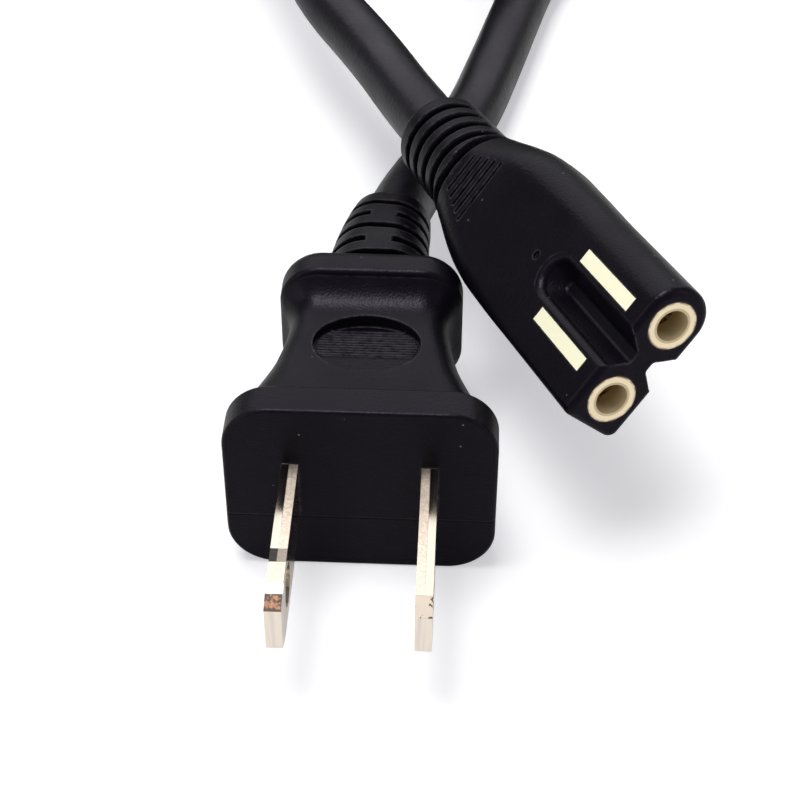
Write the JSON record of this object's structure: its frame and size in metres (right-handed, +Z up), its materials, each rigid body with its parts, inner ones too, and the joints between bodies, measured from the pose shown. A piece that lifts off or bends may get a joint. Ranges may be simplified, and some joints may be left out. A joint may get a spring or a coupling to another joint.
{
  "type": "power cord",
  "caption": "Mains power cord: a moulded two-blade plug and a figure-of-eight appliance connector joined by a round flexible lead tied in a hank",
  "frame": {"origin": "the middle of the plug's mating face, midway between the blades and at their mid height", "axes": "+X to the right across the blades seen from the plug's mating side looking back, +Y from the mating face back along the plug, +Z up; the blades point along -Y"},
  "size_m": [0.0716, 0.2484, 0.0273],
  "materials": {
    "black_moulding": "satin black soft moulding with a fine pebbled grain",
    "nickel_plate": "bright nickel plate on stamped brass",
    "contact_brass": "plain spring brass",
    "bridge_plastic": "stiff black inner moulding",
    "cream_plastic": "smooth cream insert",
    "copper_strand": "bare stranded copper",
    "core_white": "white conductor insulation",
    "core_black": "black conductor insulation",
    "cord_jacket": "satin black flexible jacket",
    "tie_plastic": "plain black band"
  },
  "bodies": {
    "root": {"plug_body": "black_moulding", "connector_body": "black_moulding", "plug_blade_left": "nickel_plate", "plug_blade_right": "nickel_plate", "connector_contact_left": "contact_brass", "connector_contact_right": "contact_brass", "plug_bridge": "bridge_plastic", "connector_insert": "cream_plastic", "plug_strand_left": "copper_strand", "plug_strand_right": "copper_strand", "connector_strand_left": "copper_strand", "connector_strand_right": "copper_strand", "plug_core_left": "core_white", "plug_core_right": "core_black", "connector_core_left": "core_white", "connector_core_right": "core_black", "plug_cord_end": "cord_jacket", "connector_cord_end": "cord_jacket", "cord_plug_side": "cord_jacket", "cord_connector_side": "cord_jacket", "cord_coil": "cord_jacket", "coil_tie": "tie_plastic"}
  },
  "joints": []
}
